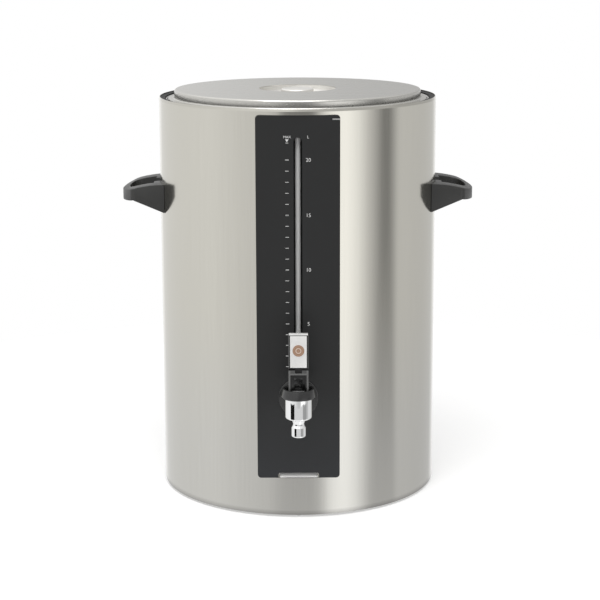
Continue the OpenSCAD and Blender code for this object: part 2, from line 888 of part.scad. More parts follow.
module heater_nuts() {
    color("gray")
        translate([0, heater_y, heater_top - heater_t - clamp_t - m4_nut_h])
            for (a = [30, 150, 270])
                rotate([0, 0, a]) translate([stud_ring, 0, 0]) hex_nut(4.6, m4_nut_h, stud_r);
}

module thermostat() {
    color("#d8d0c0")
        translate([-sensor_x, heater_y - 15, heater_top - heater_t]) {
            translate([0, 0, -3]) cylinder(h = 3, r = 10);
            translate([0, 0, -14]) cylinder(h = 11.5, r = 8);
            for (x = [-4, 4]) translate([x - 0.4, -3, -22]) cube([0.8, 6, 9]);
        }
}

module thermal_cutout() {
    color("#e8e4d8")
        translate([sensor_x, heater_y - 15, heater_top - heater_t]) {
            translate([0, 0, -2.5]) cylinder(h = 2.5, r = 8);
            translate([0, 0, -11]) cylinder(h = 9, r = 6);
            for (x = [-3, 3]) translate([x - 0.4, -2.5, -18]) cube([0.8, 5, 8]);
        }
}

module terminal_block() {
    color("#f0f0e8")
        translate([terminal_x, terminal_y, base_z + base_t])
            difference() {
                translate([0, -terminal_w / 2, 0]) cube([terminal_l, terminal_w, terminal_h]);
                for (i = [0 : 3])
                    translate([5.5 + 11 * i, 0, 5]) cylinder(h = terminal_h, r = 2.6);
            }
}

module power_inlet() {
    back_y = rear_y - 24;
    color("#181818") {
        difference() {
            union() {
                translate([inlet_x - inlet_w / 2, back_y, rear_z - inlet_h / 2])
                    cube([inlet_w, 24.01, inlet_h]);
                translate([inlet_x, rear_y + bezel_t, rear_z - inlet_flange_h / 2])
                    rotate([90, 0, 0])
                        translate([-inlet_flange_w / 2, 0, 0])
                            linear_extrude(bezel_t) round_rect(inlet_flange_w, inlet_flange_h, 6);
            }
            translate([inlet_x - 12, rear_y - 16, rear_z - 8.2]) cube([24, 30, 16.4]);
            for (x = [-inlet_pitch / 2, inlet_pitch / 2])
                translate([inlet_x + x, rear_y + bezel_t + cut, rear_z])
                    rotate([90, 0, 0]) cylinder(h = bezel_t + 2 * cut, r = m4_r + thread_gap);
        }
        for (p = [[-7, -2], [7, -2], [0, 2]])
            translate([inlet_x + p[0] - 1, rear_y - 16.01, rear_z + p[1] - 2]) cube([2, 12, 4]);
        for (x = [-8, 0, 8])
            translate([inlet_x + x - 0.4, back_y - 8, rear_z - 3]) cube([0.8, 8.01, 6]);
    }
}

module inlet_screws() {
    color("gray")
        for (x = [-inlet_pitch / 2, inlet_pitch / 2])
            translate([inlet_x + x, rear_y + bezel_t, rear_z])
                rotate([90, 0, 0]) {
                    translate([0, 0, -m4_head_h]) cylinder(h = m4_head_h, r = m4_head_r);
                    translate([0, 0, -0.01]) cylinder(h = screw_l, r = m4_r);
                }
}

module switch_housing() {
    depth = 22;
    color("#181818") {
        difference() {
            union() {
                translate([switch_x - switch_hole_w / 2 + 0.2, rear_y - depth, rear_z - switch_hole_h / 2 + 0.2])
                    cube([switch_hole_w - 0.4, depth + 0.01, switch_hole_h - 0.4]);
                translate([switch_x - switch_w / 2, rear_y, rear_z - switch_h / 2])
                    cube([switch_w, bezel_t, switch_h]);
            }
            translate([switch_x - rocker_w / 2 - 0.6, rear_y - 14, rear_z - rocker_h / 2 - 1])
                cube([rocker_w + 1.2, 30, rocker_h + 2]);
            translate([switch_x, rocker_axis_y, rear_z])
                rotate([0, 90, 0])
                    cylinder(h = rocker_w + 3, r = 1.5 + running_gap, center = true);
        }
        for (z = [-8, 0, 8])
            translate([switch_x - 3, rear_y - depth - 8, rear_z + z - 0.4]) cube([6, 8.01, 0.8]);
    }
}

// The rocker rests with its upper half pressed in
module switch_rocker() {
    half = rocker_h / 2;
    color("#101010")
        translate([switch_x, rocker_axis_y, rear_z])
            rotate([rocker_swing / 2, 0, 0]) {
                rotate([90, 0, 90])
                    translate([0, 0, -rocker_w / 2])
                        linear_extrude(rocker_w)
                            polygon([
                                [-5, -3], [4.6, -half], [6.2, -half + 1], [4.4, 0],
                                [6.2, half - 1], [4.6, half], [-5, 3]
                            ]);
                rotate([0, 90, 0]) cylinder(h = rocker_w + 2.4, r = 1.5, center = true);
            }
}

module internal_wiring() {
    low = base_z + base_t + 9;
    over = rear_z + 34;
    heat_z = heater_top - heater_t;
    pole = [for (i = [0 : 3]) terminal_x + 5.5 + 11 * i];
    color("#b03020") {
        lead([[pole[0], rear_y - 32, rear_z], [pole[0], terminal_y, rear_z], [pole[0], terminal_y, low]], 1.4);
        lead([[switch_x, rear_y - 30, rear_z + 8], [switch_x, terminal_y, rear_z + 8],
              [pole[3], terminal_y, rear_z + 8], [pole[3], terminal_y, low]], 1.4);
        lead([[pole[1], terminal_y, low], [pole[1], terminal_y, over], [-sensor_x - 4, terminal_y, over],
              [-sensor_x - 4, heater_y - 15, over], [-sensor_x - 4, heater_y - 15, heat_z - 22]], 1.4);
        lead([[pole[2], terminal_y, low], [pole[2], terminal_y, over], [sensor_x + 3, terminal_y, over],
              [sensor_x + 3, heater_y - 15, over], [sensor_x + 3, heater_y - 15, heat_z - 18]], 1.4);
    }
}

// ---------- tap ----------

// Places a shape made round the tap's upright axis
module at_tap() {
    translate([0, -tap_y, 0]) children();
}

module tap_flange() {
    color("#262626")
        forward(face_y, face_y + flange_t)
            translate([0, tap_z])
                difference() {
                    circle(flange_d / 2);
                    circle(shaft_hole_r);
                }
}

module tap_body() {
    r = tap_d / 2;
    color("#e8e8e8")
        difference() {
            union() {
                at_tap()
                    rotate_extrude()
                        polygon(concat(
                            [[0, neck_z - stub_h], [stub_r, neck_z - stub_h], [stub_r, neck_z], [neck_r, neck_z]],
                            [[neck_r, neck_z + 1.6], [neck_top_r, body_low - 0.6]],
                            arc(r - tap_corner, body_low + tap_corner, tap_corner, -90, 0),
                            [[r, collar_low], [0, collar_low]]
                        ));
                forward(boss_y - shank_over, tap_y) translate([0, tap_z]) circle(shank_d / 2);
                forward(face_y + flange_t, tap_y) translate([0, tap_z]) circle(arm_r);
            }
            at_tap() translate([0, 0, chamber_z]) cylinder(h = collar_low - chamber_z + cut, r = chamber_r);
            at_tap() translate([0, 0, skirt_low - 0.3])
                cylinder(h = collar_low - skirt_low + cut, r = skirt_r + thread_gap);
            at_tap() translate([0, 0, neck_z - stub_h - cut]) cylinder(h = 30, r = nozzle_bore / 2);
            forward(boss_y - shank_over - cut, tap_y) translate([0, tap_z]) circle(way_d / 2);
        }
    color("#e8e8e8")
        at_tap()
            translate([0, 0, chamber_z - 0.01])
                difference() {
                    cylinder(h = seat_h, r = seat_r + 0.4);
                    translate([0, 0, -cut]) cylinder(h = seat_h + 2 * cut, r = nozzle_bore / 2);
                }
}

module tap_nozzle() {
    top = neck_z;
    cone_low = top - 2.9;
    low = cone_low - nozzle_h;
    r = nozzle_d / 2;
    color("#e8e8e8")
        at_tap()
            difference() {
                rotate_extrude()
                    polygon(concat(
                        [[0, low]],
                        arc(r - 2, low + 2, 2, -90, 0),
                        [[r, cone_low], [neck_r, top], [0, top]]
                    ));
                translate([0, 0, low - cut]) cylinder(h = nozzle_h + 10, r = nozzle_bore / 2);
                translate([0, 0, top - stub_h - 0.3]) cylinder(h = stub_h + cut, r = stub_r + thread_gap);
            }
}

module tap_bonnet() {
    color("#303030")
        at_tap()
            difference() {
                rotate_extrude()
                    polygon([
                        [stem_r + running_gap, collar_low],
                        [skirt_in_r, collar_low],
                        [skirt_in_r, skirt_low],
                        [skirt_r, skirt_low],
                        [skirt_r, collar_low],
                        [collar_r - 0.8, collar_low],
                        [collar_r, collar_low + 1.4],
                        [collar_top_r, collar_high],
                        [cavity_r + 0.6, collar_high],
                        [cavity_r, cavity_z],
                        [stem_r + running_gap, cavity_z]
                    ]);
                translate([-pin_half - 0.1, -toe_reach, pin_z])
                    rotate([0, 90, 0]) cylinder(h = 2 * pin_half + 0.2, r = pin_r + 0.02);
            }
}

module lever_pin() {
    color("silver")
        translate([-pin_half, -pin_y, pin_z])
            rotate([0, 90, 0]) cylinder(h = 2 * pin_half, r = pin_r);
}

module tap_spring() {
    color("silver")
        at_tap()
            coil(spring_r, spring_wire_r, plate_z + stem_plate_t, collar_low, spring_turns);
}

module valve_stem() {
    color("silver")
        at_tap() {
            translate([0, 0, stem_foot_z]) cylinder(h = head_z - stem_foot_z + 0.01, r = stem_r);
            translate([0, 0, stem_foot_z]) cylinder(h = 1.5, r = 3.4);
            translate([0, 0, plate_z]) cylinder(h = stem_plate_t, r = stem_plate_r);
            translate([0, 0, head_z]) cylinder(h = head_t, r = head_r);
        }
}

module seat_cup() {
    low = chamber_z + seat_h;
    color("#e6e0d4")
        at_tap()
            difference() {
                rotate_extrude()
                    polygon([[0, low], [cup_r - 1, low], [cup_r, low + 1.5], [cup_r - 1.5, plate_z], [0, plate_z]]);
                translate([0, 0, stem_foot_z]) cylinder(h = 20, r = stem_r + 0.05);
                translate([0, 0, stem_foot_z - 0.05]) cylinder(h = 1.6, r = 3.45);
            }
}

// The lever stands on the pin; two toes behind the pin lift the stem's head
module tap_lever() {
    half = lever_w / 2;
    block_top = lever_top - cap_h;
    slot_half = 4.8;
    slot_top = shelf_z - 5;
    color("#242424")
        difference() {
            union() {
                // Side legs and ribs
                for (side = [-1, 1]) {
                    translate([side * (half - leg_w / 2) - leg_w / 2, -lever_front, pin_z])
                        cube([leg_w, lever_t, shelf_z - pin_z]);
                    translate([side * (half - leg_w / 2) - leg_w / 2, -pin_y, pin_z])
                        rotate([0, 90, 0]) cylinder(h = leg_w, r = lever_t / 2);
                }
                // Barrel round the pin
                translate([-half, -pin_y, pin_z]) rotate([0, 90, 0]) cylinder(h = lever_w, r = lever_t / 2);
                // Web behind the ribs
                translate([-half, -pin_y, pin_z + lever_t / 2 + 1])
                    cube([lever_w, lever_t / 2, shelf_z - pin_z - lever_t / 2 - 1]);
                // Shelf, foot blocks and the upper block
                translate([-half, -lever_front, shelf_z]) cube([lever_w, lever_t, 2]);
                for (x = [-half, half - foot_w])
                    translate([x, -lever_front, shelf_z]) cube([foot_w, lever_t, foot_h]);
                translate([-half, -pin_y, shelf_z]) cube([lever_w, lever_t / 2, block_low - shelf_z + 0.01]);
                translate([-half, -lever_front, block_low]) cube([lever_w, lever_t, block_top - block_low]);
                // Toes
                for (x = [-5.5, 2.4])
                    translate([x, -pin_y, pin_z]) {
                        translate([0, 0, -toe_r]) cube([3.1, toe_reach, 2 * toe_r]);
                        translate([0, toe_reach, 0]) rotate([0, 90, 0]) cylinder(h = 3.1, r = toe_r);
                    }
            }
            // Slot in the middle of the web
            translate([-slot_half, -lever_front - cut, pin_z + lever_t / 2])
                cube([2 * slot_half, lever_t + 2 * cut, slot_top - pin_z - lever_t / 2]);
            // Seat of the steel plate
            translate([-plate_w / 2 - 0.05, -lever_front - cut, plate_low - 0.05])
                cube([plate_w + 0.1, cut + lever_plate_t - 0.2, block_top - plate_low + 1]);
            // Bore for the pin
            translate([-half - cut, -pin_y, pin_z])
                rotate([0, 90, 0]) cylinder(h = lever_w + 2 * cut, r = pin_r + running_gap);
        }
}

module lever_plate() {
    front = lever_front + 0.2;
    color("#dcdcdc") {
        difference() {
            translate([-plate_w / 2, -front, plate_low])
                cube([plate_w, lever_plate_t, lever_top - plate_low]);
            // Fold line under the cap
            translate([-lever_w / 2, -front - cut, lever_top - cap_h - fold_h])
                cube([lever_w, lever_plate_t / 2 + cut, fold_h]);
        }
        // Cap over the lever's head
        translate([-cap_w / 2, -front, lever_top - cap_h])
            cube([cap_w, front - lever_back, cap_h]);
    }
}

module lever_badge() {
    color("#b87850")
        forward(lever_front + 0.2, lever_front + 0.2 + badge_t)
            translate([0, badge_z]) circle(badge_r);
}

// ---------- lid ----------

module lid_top() {
    t = lid_wall;
    edge = lid_r - lid_edge_r;
    foot = lid_flange_top + lid_fillet_r;
    outer = concat(
        [[dish_hole_r, lid_z]],
        arc(edge, lid_z - lid_edge_r, lid_edge_r, 90, 0),
        arc(lid_r + lid_fillet_r, foot, lid_fillet_r, 180, 270),
        [[lid_flange_r, lid_flange_top]]
    );
    inner = concat(
        [[dish_hole_r, lid_z - t]],
        arc(edge, lid_z - lid_edge_r, lid_edge_r - t, 90, 0),
        arc(lid_r + lid_fillet_r, foot, lid_fillet_r + t, 180, 270),
        [[lid_flange_r, lid_flange_top - t]]
    );
    color("#cfcfcb") rotate_extrude() polygon(concat(outer, backwards(inner)));
}

module lid_grip_dish() {
    t = lid_wall;
    wall_x = dish_rim_r - dish_r;
    inner = concat([[dish_rim_r + dish_lap, dish_top]], arc(wall_x, dish_top, dish_r, 0, -90), [[2.7, dish_top - dish_r]]);
    outer = concat(
        [[dish_rim_r + dish_lap, dish_top - t]],
        [[dish_rim_r + t, dish_top - t]],
        arc(wall_x, dish_top, dish_r + t, -15, -90),
        [[2.7, dish_top - dish_r - t]]
    );
    color("#e0e0dc") rotate_extrude() polygon(concat(outer, backwards(inner)));
}

module lid_knob() {
    foot = dish_top - dish_r;
    neck = 10;
    flare = 9;
    color("#dcdcd8")
        difference() {
            rotate_extrude()
                polygon(concat(
                    [[0, foot], [neck + 3, foot], [neck + 3, foot + 1.2]],
                    arc(neck + flare, foot + 1.2, flare, 180, 105),
                    [[knob_r, foot + 11]],
                    arc(knob_r - 2, knob_top - 2, 2, 0, 90),
                    [[0, knob_top]]
                ));
            translate([0, 0, foot - cut]) cylinder(h = 10 + cut, r = m5_r + thread_gap);
        }
}

module knob_screw() {
    floor_low = dish_floor;
    color("gray") {
        translate([0, 0, floor_low - m5_head_h]) cylinder(h = m5_head_h, r = m5_head_r);
        translate([0, 0, floor_low - 0.01]) cylinder(h = 9.5, r = m5_r);
    }
}

module lid_underpan() {
    t = lid_wall;
    corner = 6;
    outer = concat(
        [[0, plug_z]],
        arc(plug_r - corner, plug_z + corner, corner, -90, 0),
        [[plug_r, pan_flange_low], [pan_flange_r, pan_flange_low]]
    );
    inner = concat(
        [[0, plug_z + t]],
        arc(plug_r - corner, plug_z + corner, corner - t, -90, 0),
        [[plug_r - t, pan_flange_low + t], [pan_flange_r, pan_flange_low + t]]
    );
    color("#c8c8c4") rotate_extrude() polygon(concat(outer, backwards(inner)));
}

module lid_insulation() {
    low = plug_z + lid_wall;
    high = lid_z - lid_wall;
    waist = lid_flange_low;
    color("#e0d8a8")
        difference() {
            union() {
                translate([0, 0, low]) cylinder(h = waist - low, r = plug_r - 6.5);
                translate([0, 0, waist]) cylinder(h = high - waist, r = lid_r - 4);
            }
            translate([0, 0, dish_floor - m5_head_h - 1]) cylinder(h = 40, r = dish_rim_r - 10);
            translate([0, 0, dish_floor - 0.5]) cylinder(h = 40, r = dish_rim_r + 1.5);
            translate([0, 0, dish_top - lid_wall - 0.2]) cylinder(h = 10, r = dish_rim_r + dish_lap + 0.5);
        }
}

module lid_gasket() {
    out_r = lid_flange_r - 0.6;
    color("#303030")
        rotate_extrude()
            polygon([
                [plug_r + 2, flange_top],
                [out_r, flange_top],
                [out_r, lid_flange_low],
                [pan_flange_r + seat_gap, lid_flange_low],
                [pan_flange_r + seat_gap, pan_flange_low],
                [plug_r + 2, pan_flange_low]
            ]);
}

outer_shell();
rim_ring();
inner_vessel();
vessel_insulation();
floor_insulation();
base_plate();
base_screws();
base_nuts();
feet();
foot_screws();
handle_left();
handle_right();
handle_backing_plates();
handle_screws();
front_panel();
panel_catch();
gauge_tube();
gauge_channel();
gauge_top_holder();
gauge_seal();
gauge_block();
shank_seal();
tap_flange();
tap_body();
tap_nozzle();
tap_bonnet();
lever_pin();
tap_spring();
tap_lever();
lever_plate();
lever_badge();
valve_stem();
seat_cup();
lid_top();
lid_grip_dish();
lid_knob();
knob_screw();
lid_underpan();
lid_insulation();
lid_gasket();
heater_plate();
heater_clamp();
heater_nuts();
thermostat();
thermal_cutout();
terminal_block();
internal_wiring();
power_inlet();
inlet_screws();
switch_housing();
switch_rocker();
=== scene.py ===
# %% [markdown]
# # A hot water urn, dressed for the studio
# The urn's solids come from CAD: the steel case, the tank, the lid, the tap and everything inside.
# This script gives each of them its finish, adds what the solids leave out (rounded plastic edges,
# printed litre marks), copies the spring, and sets up light, a floor and a camera.

import math

import bmesh
import bpy
from mathutils import Matrix, Vector


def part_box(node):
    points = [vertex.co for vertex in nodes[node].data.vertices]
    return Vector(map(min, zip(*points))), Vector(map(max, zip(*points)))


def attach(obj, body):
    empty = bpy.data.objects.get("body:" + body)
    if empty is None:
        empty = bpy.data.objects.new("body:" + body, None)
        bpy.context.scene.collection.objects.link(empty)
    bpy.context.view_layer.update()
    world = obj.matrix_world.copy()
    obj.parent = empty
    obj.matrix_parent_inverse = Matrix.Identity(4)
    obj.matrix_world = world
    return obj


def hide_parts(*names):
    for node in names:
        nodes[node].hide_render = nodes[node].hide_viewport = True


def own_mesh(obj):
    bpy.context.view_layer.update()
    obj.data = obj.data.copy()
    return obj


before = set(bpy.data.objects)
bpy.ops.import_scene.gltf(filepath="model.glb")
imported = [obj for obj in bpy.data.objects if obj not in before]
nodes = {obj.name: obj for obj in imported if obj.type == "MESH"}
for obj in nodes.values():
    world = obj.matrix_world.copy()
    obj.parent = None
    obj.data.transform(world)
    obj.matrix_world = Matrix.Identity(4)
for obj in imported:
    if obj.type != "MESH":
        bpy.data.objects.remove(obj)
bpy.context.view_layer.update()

# %% [markdown]
# ## Places that later cells share
# The front of the urn faces -Y, so a front face has the lowest y. The print lies on the panel's
# face, and the spring and the cards stand round the tap's axis. Both places could be typed, but
# they are read from the solids' boxes, so they stay right when the solids change.

# %% Measure the solids
MM = 0.001
panel_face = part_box("front_panel")[0].y
collar_low, collar_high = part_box("tap_bonnet")
tap_axis = Vector((0, (collar_low.y + collar_high.y) / 2, 0))
print("panel face y:", round(panel_face, 5), "tap axis y:", round(tap_axis.y, 5))

# %% [markdown]
# ## Shader sums written as sums
# A finish is easier to read as `0.3 + 0.1 * grain` than as a row of linked nodes. `Value` wraps one
# output socket, and each operator adds the Math node that does the sum. `Tree` takes any other node
# through one method, `add`, and `Finish` is a tree with a Principled shader at its end.

# %% A wrapped socket
class Value:
    """A number that varies over a surface. Its operators add Math nodes."""

    def __init__(self, tree, socket):
        self.tree, self.socket = tree, socket

    def sum(self, operation, *numbers, clamp=False):
        settings = {"operation": operation, "use_clamp": clamp}
        return self.tree.add("ShaderNodeMath", settings, *numbers)["Value"]

    def __add__(self, other): return self.sum("ADD", self, other)
    def __radd__(self, other): return self.sum("ADD", other, self)
    def __sub__(self, other): return self.sum("SUBTRACT", self, other)
    def __rsub__(self, other): return self.sum("SUBTRACT", other, self)
    def __mul__(self, other): return self.sum("MULTIPLY", self, other)
    def __rmul__(self, other): return self.sum("MULTIPLY", other, self)
    def __truediv__(self, other): return self.sum("DIVIDE", self, other)
    def __pow__(self, other): return self.sum("POWER", self, other)
    def __neg__(self): return self.sum("MULTIPLY", self, -1.0)
    def __abs__(self): return self.sum("ABSOLUTE", self)
    def at_least(self, other): return self.sum("MAXIMUM", self, other)
    def at_most(self, other): return self.sum("MINIMUM", self, other)
    def clamped(self): return self.sum("ADD", self, 0.0, clamp=True)

    def ramp(self, low, high):
        """0 below low, 1 above high, and straight between them."""
        return ((self - low) / (high - low)).clamped()


# %% A node tree that takes any node
class Tree:
    """Nodes of one material or of the world."""

    def __init__(self, tree):
        self.tree = tree
        tree.nodes.clear()

    def add(self, kind, settings=None, *inputs, **named):
        """A new node: its settings, then its sockets by place or by name."""
        node = self.tree.nodes.new(kind)
        for key, value in (settings or {}).items():
            if key == "stops":
                self.set_stops(node.color_ramp, value)
            else:
                setattr(node, key, value)
        sockets = {s.identifier: s for s in node.inputs}
        sockets.update({s.name: s for s in reversed(node.inputs) if s.enabled})
        for place, value in [*enumerate(inputs), *named.items()]:
            socket = node.inputs[place] if isinstance(place, int) else sockets[place]
            if isinstance(value, Value):
                self.tree.links.new(value.socket, socket)
            else:
                socket.default_value = value
        return {s.identifier: Value(self, s) for s in node.outputs}

    def blend(self, low, high, share):
        """A colour between two colours."""
        low, high = [c if isinstance(c, Value) else (*c, 1.0) for c in (low, high)]
        return self.add("ShaderNodeMix", {"data_type": "RGBA"}, Factor_Float=share, A_Color=low,
                        B_Color=high)["Result_Color"]

    @staticmethod
    def set_stops(ramp, stops):
        """Grey stops, each a place from 0 to 1 and a level."""
        while len(ramp.elements) > 1:
            ramp.elements.remove(ramp.elements[-1])
        for i, (place, level) in enumerate(stops):
            stop = ramp.elements[0] if i == 0 else ramp.elements.new(place)
            stop.position = place
            stop.color = (level, level, level, 1.0)


# %% A finish
class Finish(Tree):
    """A Principled shader, its fixed numbers, and nodes that vary it over the surface."""

    def __init__(self, name, colour, roughness, metallic=0.0, **fixed):
        self.material = bpy.data.materials.new(name)
        self.material.use_nodes = True
        super().__init__(self.material.node_tree)
        self.shader = self.tree.nodes.new("ShaderNodeBsdfPrincipled")
        self.out = self.tree.nodes.new("ShaderNodeOutputMaterial")
        self.tree.links.new(self.shader.outputs[0], self.out.inputs[0])
        self.colour = colour
        self.put("Base Color", (*colour, 1.0))
        self.put("Roughness", roughness)
        self.put("Metallic", metallic)
        for key, value in fixed.items():
            self.put(key.replace("_", " ").title().replace("Ior", "IOR"), value)
        self.place = self.add("ShaderNodeTexCoord")["Object"]

    def put(self, name, value):
        """Sets one socket of the shader, or links it."""
        socket = self.shader.inputs[name]
        if isinstance(value, Value):
            self.tree.links.new(value.socket, socket)
        else:
            socket.default_value = value

    def along(self, axis):
        """The place along one axis of the object, in metres."""
        return self.add("ShaderNodeSeparateXYZ", {}, self.place)[axis]

    def noise(self, scale, detail=2.0, stretch=(1, 1, 1), rough=0.5):
        """Noise that is `scale` bumps to the metre, squeezed by `stretch` along each axis."""
        at = self.add("ShaderNodeMapping", {"vector_type": "POINT"}, Vector=self.place,
                      Scale=stretch)["Vector"]
        return self.add("ShaderNodeTexNoise", {}, Vector=at, Scale=scale, Detail=detail,
                        Roughness=rough)["Fac"]

    def paint(self, low, high, share):
        """Makes the surface's colour drift between two colours."""
        self.put("Base Color", self.blend(low, high, share))

    def tint(self, share, darkest, lightest):
        """Lets the finish's own colour drift between two levels."""
        self.paint(*[[min(1.0, c * k) for c in self.colour] for k in (darkest, lightest)], share)

    def bump(self, height, strength, depth):
        """Raises the surface by `height` times `depth` metres."""
        self.put("Normal", self.add("ShaderNodeBump", {}, Height=height, Strength=strength,
                                    Distance=depth)["Normal"])


def dress(finish, *names):
    """Gives the named solids one finish."""
    for name in names:
        nodes[name].data.materials.clear()
        nodes[name].data.materials.append(finish.material)
    print(finish.material.name, "on", *names)
    return finish


# %% [markdown]
# ## Brushed steel
# The case, lid and tank are stainless sheet that a belt has brushed. The scratches are far finer
# than the eye can part, so what one sees is a soft mirror: it keeps the shapes of the lamps but
# blurs them a little. An anisotropic shader could stretch the blur instead, but plain streaks read
# well and export as they are. So Metallic is 1, and the roughness, the tint and a very shallow bump
# carry streaks that run up the case.
#
# The case has two painted marks. A painted reflection of the pale floor makes its colour a little
# cooler low down, and painted shade darkens the edge that is rolled in at the bottom.

# %% Steel for the case
STREAKS, FINE_STREAKS, CLOUDS = 900, 3200, 5  # to the metre
SQUEEZE = 0.012  # how much closer the noise lies across a streak than along it
CLOUDING = 0.04


def brushed(name, colour, roughness, along, streak=0.05, depth=4e-6, tinted=True):
    """Steel whose scratches run along one axis of the object."""
    steel = Finish(name, colour, roughness, 1.0)
    squeeze = [SQUEEZE if axis == along else 1.0 for axis in "xyz"]
    steel.streaks = steel.noise(STREAKS, 3.0, squeeze, 0.6)
    fine = steel.noise(FINE_STREAKS, 2.0, squeeze, 0.6)
    clouds = steel.noise(CLOUDS, 1.0)
    gloss = streak * (steel.streaks - 0.5) + CLOUDING * (clouds - 0.5)
    steel.put("Roughness", roughness + gloss)
    if tinted:
        steel.tint(0.7 * steel.streaks + 0.3 * clouds, 0.95, 1.04)
    steel.bump(0.6 * steel.streaks + 0.4 * fine, 0.25, depth)
    return steel


CASE, EDGE_SHADE = (0.62, 0.604, 0.548), (0.40, 0.394, 0.375)
WARM = (0.59, 0.574, 0.52), (0.645, 0.628, 0.57)
FLOOR_REFLECTION = (0.578, 0.569, 0.534), (0.631, 0.622, 0.586)
case_steel = dress(brushed("case_steel", CASE, 0.15, "z", tinted=False), "outer_shell")
warm = case_steel.blend(*WARM, case_steel.streaks)
floor_reflection = case_steel.blend(*FLOOR_REFLECTION, case_steel.streaks)
# Painted reflection of the floor low down, and painted shade on the rolled-in bottom edge.
painted_floor_reflection = 1.0 - case_steel.along("Z").ramp(90 * MM, 250 * MM)
painted_edge_shade = 1.0 - case_steel.along("Z").ramp(3.5 * MM, 9.5 * MM)
case_steel.paint(case_steel.blend(warm, floor_reflection, painted_floor_reflection), EDGE_SHADE, painted_edge_shade)

# %% [markdown]
# The lid is brushed across and blurs more, and its recess more still. The recess and the knob in it
# are painted paler than the lid: painted light that lifts the shade in the hollow. The catch behind
# the panel's finger notch is satin metal painted near white, a painted highlight, and its tongue,
# in the small slot high up, is darker. One material for all of them would be simpler, but the parts
# come from different sheets and it would show.

# %% Steel for the lid, the tank and the catch
SHALLOW = 1e-6
CATCH_HIGHLIGHT, TONGUE = (0.94, 0.935, 0.92), (0.50, 0.495, 0.485)
lid_steel = brushed("lid_steel", (0.62, 0.61, 0.575), 0.27, "x", 0.05, SHALLOW)
dress(lid_steel, "lid_top", "lid_underpan")
# Painted light: the recess and the knob are painted paler than the lid, lifting the shade in the
# hollow.
dish_steel_painted_light = brushed("dish_steel_painted_light", (0.80, 0.785, 0.75), 0.45, "x", 0.02, SHALLOW)
dress(dish_steel_painted_light, "lid_grip_dish", "lid_knob")
dress(brushed("tank_steel", (0.60, 0.59, 0.57), 0.3, "z"), "inner_vessel")
# The catch's near-white colour is a painted highlight; higher up it gives way to darker steel on
# the tongue.
catch_steel = dress(brushed("catch_steel", CATCH_HIGHLIGHT, 0.4, "x", tinted=False), "panel_catch")
catch_steel.put("Metallic", 0.1)
catch_steel.paint(CATCH_HIGHLIGHT, TONGUE, catch_steel.along("Z").ramp(200 * MM, 400 * MM))

# %% [markdown]
# ## Black plastics
# The plastics look alike from afar and differ close by. The handles are moulded with a fine spark
# grain. The panel is a smooth satin sheet, painted a little paler low down: painted light from the
# floor below it.
# The ring round the mouth is matt, and the tap's lever and collar are glossier mouldings. One
# function makes them all, because they differ only in colour, gloss, grain and wear.

# %% Moulded plastic
FINE_GRAIN = 6e-6


def moulded(name, colour, roughness, grain=1500, depth=30e-6, wear=0.06, tinted=True, **fixed):
    """Plastic with a spark grain, and a gloss that wanders."""
    plastic = Finish(name, colour, roughness, 0.0, **fixed)
    pits = plastic.noise(grain, 3.0, rough=0.6)
    patches = plastic.noise(40, 2.0)
    plastic.put("Roughness", roughness + wear * (patches - 0.5))
    if tinted:
        plastic.tint(0.5 * pits + 0.5 * patches, 0.85, 1.15)
    plastic.bump(pits, 0.35, depth)
    return plastic


def grey(level):
    """A colour without a hue."""
    return (level, level, level)


# %% Black finishes of the outside
PANEL, PAINTED_FLOOR_LIGHT = (0.0125, 0.0128, 0.013), (0.021, 0.0225, 0.025)
handle_black = moulded("handle_black", (0.030, 0.030, 0.029), 0.42)
dress(moulded("ring_black", grey(0.020), 0.62, specular_ior_level=0.25), "rim_ring")
lever_black = moulded("lever_black", grey(0.012), 0.2, depth=FINE_GRAIN, tinted=False)
collar_black = moulded("collar_black", grey(0.012), 0.2, depth=FINE_GRAIN, specular_ior_level=0.8)
panel_black = moulded("panel_black", PANEL, 0.36, 2600, 10e-6, 0.04, tinted=False)
dress(panel_black, "front_panel")
# Painted light from the floor makes the panel paler low down.
panel_black.paint(PANEL, PAINTED_FLOOR_LIGHT, 1.0 - panel_black.along("Z").ramp(60 * MM, 160 * MM))
dress(moulded("channel_black", grey(0.010), 0.6), "gauge_channel", "gauge_top_holder")
dress(moulded("socket_black", (0.02, 0.02, 0.021), 0.4), "power_inlet", "switch_housing")
dress(moulded("rocker_black", grey(0.018), 0.28), "switch_rocker")
flange_black = moulded("flange_black", grey(0.016), 0.22, specular_ior_level=0.8)

# %% [markdown]
# Painted highlights pick out the lever's front where it stands proud: its two rails, the shelf
# between them, the two shoulders above the shelf and the border round the plate. Those places are
# painted paler, and what lies deeper stays black. A painted image could say where, but masks in the
# lever's own coordinates stay sharp at any size, and they tilt with the lever.

# %% Painted highlights on the lever
def between(value, low, high, soft=0.4):
    """1 where a place lies between two levels in millimetres, with soft ends."""
    starts = value.ramp((low - soft) * MM, low * MM)
    return starts * (1.0 - value.ramp(high * MM, (high + soft) * MM))


side, up = abs(lever_black.along("X")), lever_black.along("Z")
rails = between(side, 9.9, 11.7) * between(up, 170, 203)
shelf = between(side, -1, 11.7) * between(up, 197.8, 199.5)
shoulders = between(side, 4.4, 11.7) * between(up, 199.9, 203.2)
border = between(side, 11.2, 12.0) * between(up, 204, 246)
front = (-lever_black.along("Y")).ramp(234.6 * MM, 235.4 * MM)
# The raised places are painted paler: painted highlights, kept to the lever's front.
painted_highlights = (rails + shelf + 0.55 * shoulders + 0.7 * border).clamped() * front
lever_black.paint(grey(0.006), (0.15, 0.15, 0.148), 0.03 + 0.97 * painted_highlights)
# These masks carry the painted highlights.
print("wear masks: rails, shelf, shoulders, border")

